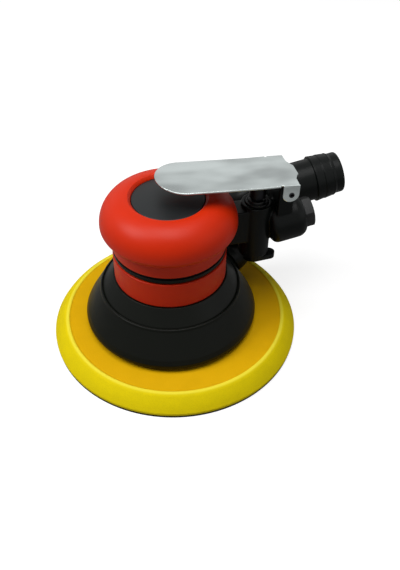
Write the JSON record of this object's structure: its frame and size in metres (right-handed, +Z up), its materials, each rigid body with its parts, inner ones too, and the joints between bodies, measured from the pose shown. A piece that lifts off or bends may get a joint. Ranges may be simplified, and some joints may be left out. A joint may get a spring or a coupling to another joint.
{
  "type": "orbital sander",
  "caption": "Air-driven random-orbit palm sander: round foam pad on an eccentric spindle, red palm grip, throttle lever, threaded air inlet and swivelling vacuum hose tail.",
  "frame": {"origin": "on the motor axis, in the plane of the pad's abrasive face", "axes": "+Z up along the motor axis, +X along the handle towards the air inlet, +Y the hose tail's side"},
  "size_m": [0.1874, 0.15, 0.1088],
  "materials": {
    "hook_fabric": "short woven loop, black",
    "yellow_foam": "satin moulded polyurethane foam",
    "fibre_plate": "glass-filled plate, matt",
    "zinc_steel": "zinc plated",
    "bearing_steel": "ground bright",
    "dark_steel": "oiled black",
    "cast_motor": "machined",
    "aluminium": "machined",
    "rotor_steel": "ground",
    "vane_phenolic": "phenolic fibre",
    "black_composite": "moulded, fine satin texture",
    "red_grip": "soft-touch moulding, satin",
    "black_cap": "satin",
    "shroud_rubber": "matt moulded rubber",
    "seal_rubber": "smooth",
    "felt": "felt",
    "brass": "turned",
    "nylon": "natural nylon",
    "spring_steel": "drawn wire",
    "stainless": "pressed, lightly polished",
    "bushing_steel": "black oxide"
  },
  "bodies": {
    "housing": {"housing": "black_composite", "palm_grip": "red_grip", "top_cap": "black_cap", "lower_ring": "red_grip", "shroud": "shroud_rubber", "lock_ring": "aluminium", "front_end_plate": "cast_motor", "motor_cylinder": "cast_motor", "rear_end_plate": "cast_motor", "front_bearing_outer_race": "bearing_steel", "rear_bearing_outer_race": "bearing_steel", "dowel_pin": "zinc_steel", "wave_washer": "spring_steel", "plate_o_ring": "seal_rubber", "dust_shield": "felt", "valve_bushing": "bushing_steel", "bushing_o_ring": "seal_rubber", "valve_seat": "brass", "valve_spring": "spring_steel", "inlet_bushing": "bushing_steel", "inlet_screen": "zinc_steel", "vacuum_duct": "black_composite", "duct_screws": "zinc_steel", "tail_ring": "spring_steel", "lever_pin": "dark_steel"},
    "lever": {"lever": "stainless"},
    "valve": {"valve_stem": "dark_steel", "valve_poppet": "nylon"},
    "regulator": {"regulator_spool": "nylon", "regulator_lever": "black_composite", "regulator_screw": "zinc_steel"},
    "motor": {"shaft_balancer": "dark_steel", "rotor": "rotor_steel", "vanes": "vane_phenolic", "rotor_key": "zinc_steel", "front_bearing_inner_race": "bearing_steel", "front_bearing_balls": "bearing_steel", "rear_bearing_inner_race": "bearing_steel", "rear_bearing_balls": "bearing_steel", "spindle_bearing_outer_races": "bearing_steel", "spindle_bearing_balls": "bearing_steel", "bearing_spacer": "zinc_steel", "bearing_snap_ring": "spring_steel"},
    "pad": {"pad_hook_layer": "hook_fabric", "pad_foam": "yellow_foam", "pad_plate": "fibre_plate", "pad_hub": "zinc_steel", "pad_rivets": "zinc_steel", "pad_washer": "zinc_steel", "spindle": "dark_steel", "spindle_circlip": "spring_steel", "spindle_bearing_inner_races": "bearing_steel"},
    "tail": {"hose_tail": "black_composite", "tail_o_ring": "seal_rubber"}
  },
  "joints": [
    {"name": "lever_press", "type": "hinge", "parent": "housing", "child": "lever", "pos_m": [0.0646, 0, 0.0976], "axis": [0, -1, 0], "range_deg": [0, 7], "stiffness_Nm_per_rad": 2, "springref_deg": -8.59},
    {"name": "valve_slide", "type": "slide", "parent": "housing", "child": "valve", "axis": [0, 0, -1], "range_m": [0, 0.00175], "deforming": ["valve_spring"]},
    {"name": "regulator_turn", "type": "hinge", "parent": "housing", "child": "regulator", "pos_m": [0.0506, 0, 0.05], "axis": [0, 0, 1], "range_deg": [-75, 75]},
    {"name": "motor_spin", "type": "hinge", "parent": "housing", "child": "motor", "pos_m": [0, 0, 0.06], "axis": [0, 0, 1], "continuous": true},
    {"name": "pad_spin", "type": "hinge", "parent": "motor", "child": "pad", "pos_m": [0.0025, 0, 0.02], "axis": [0, 0, 1], "continuous": true},
    {"name": "tail_swivel", "type": "hinge", "parent": "housing", "child": "tail", "pos_m": [0.0697, 0.03, 0.06939], "axis": [0.9848, 0, 0.1736], "continuous": true}
  ],
  "couplings": [
    {"joint": "valve_slide", "follows": "lever_press", "m_per_rad": 0.014}
  ]
}
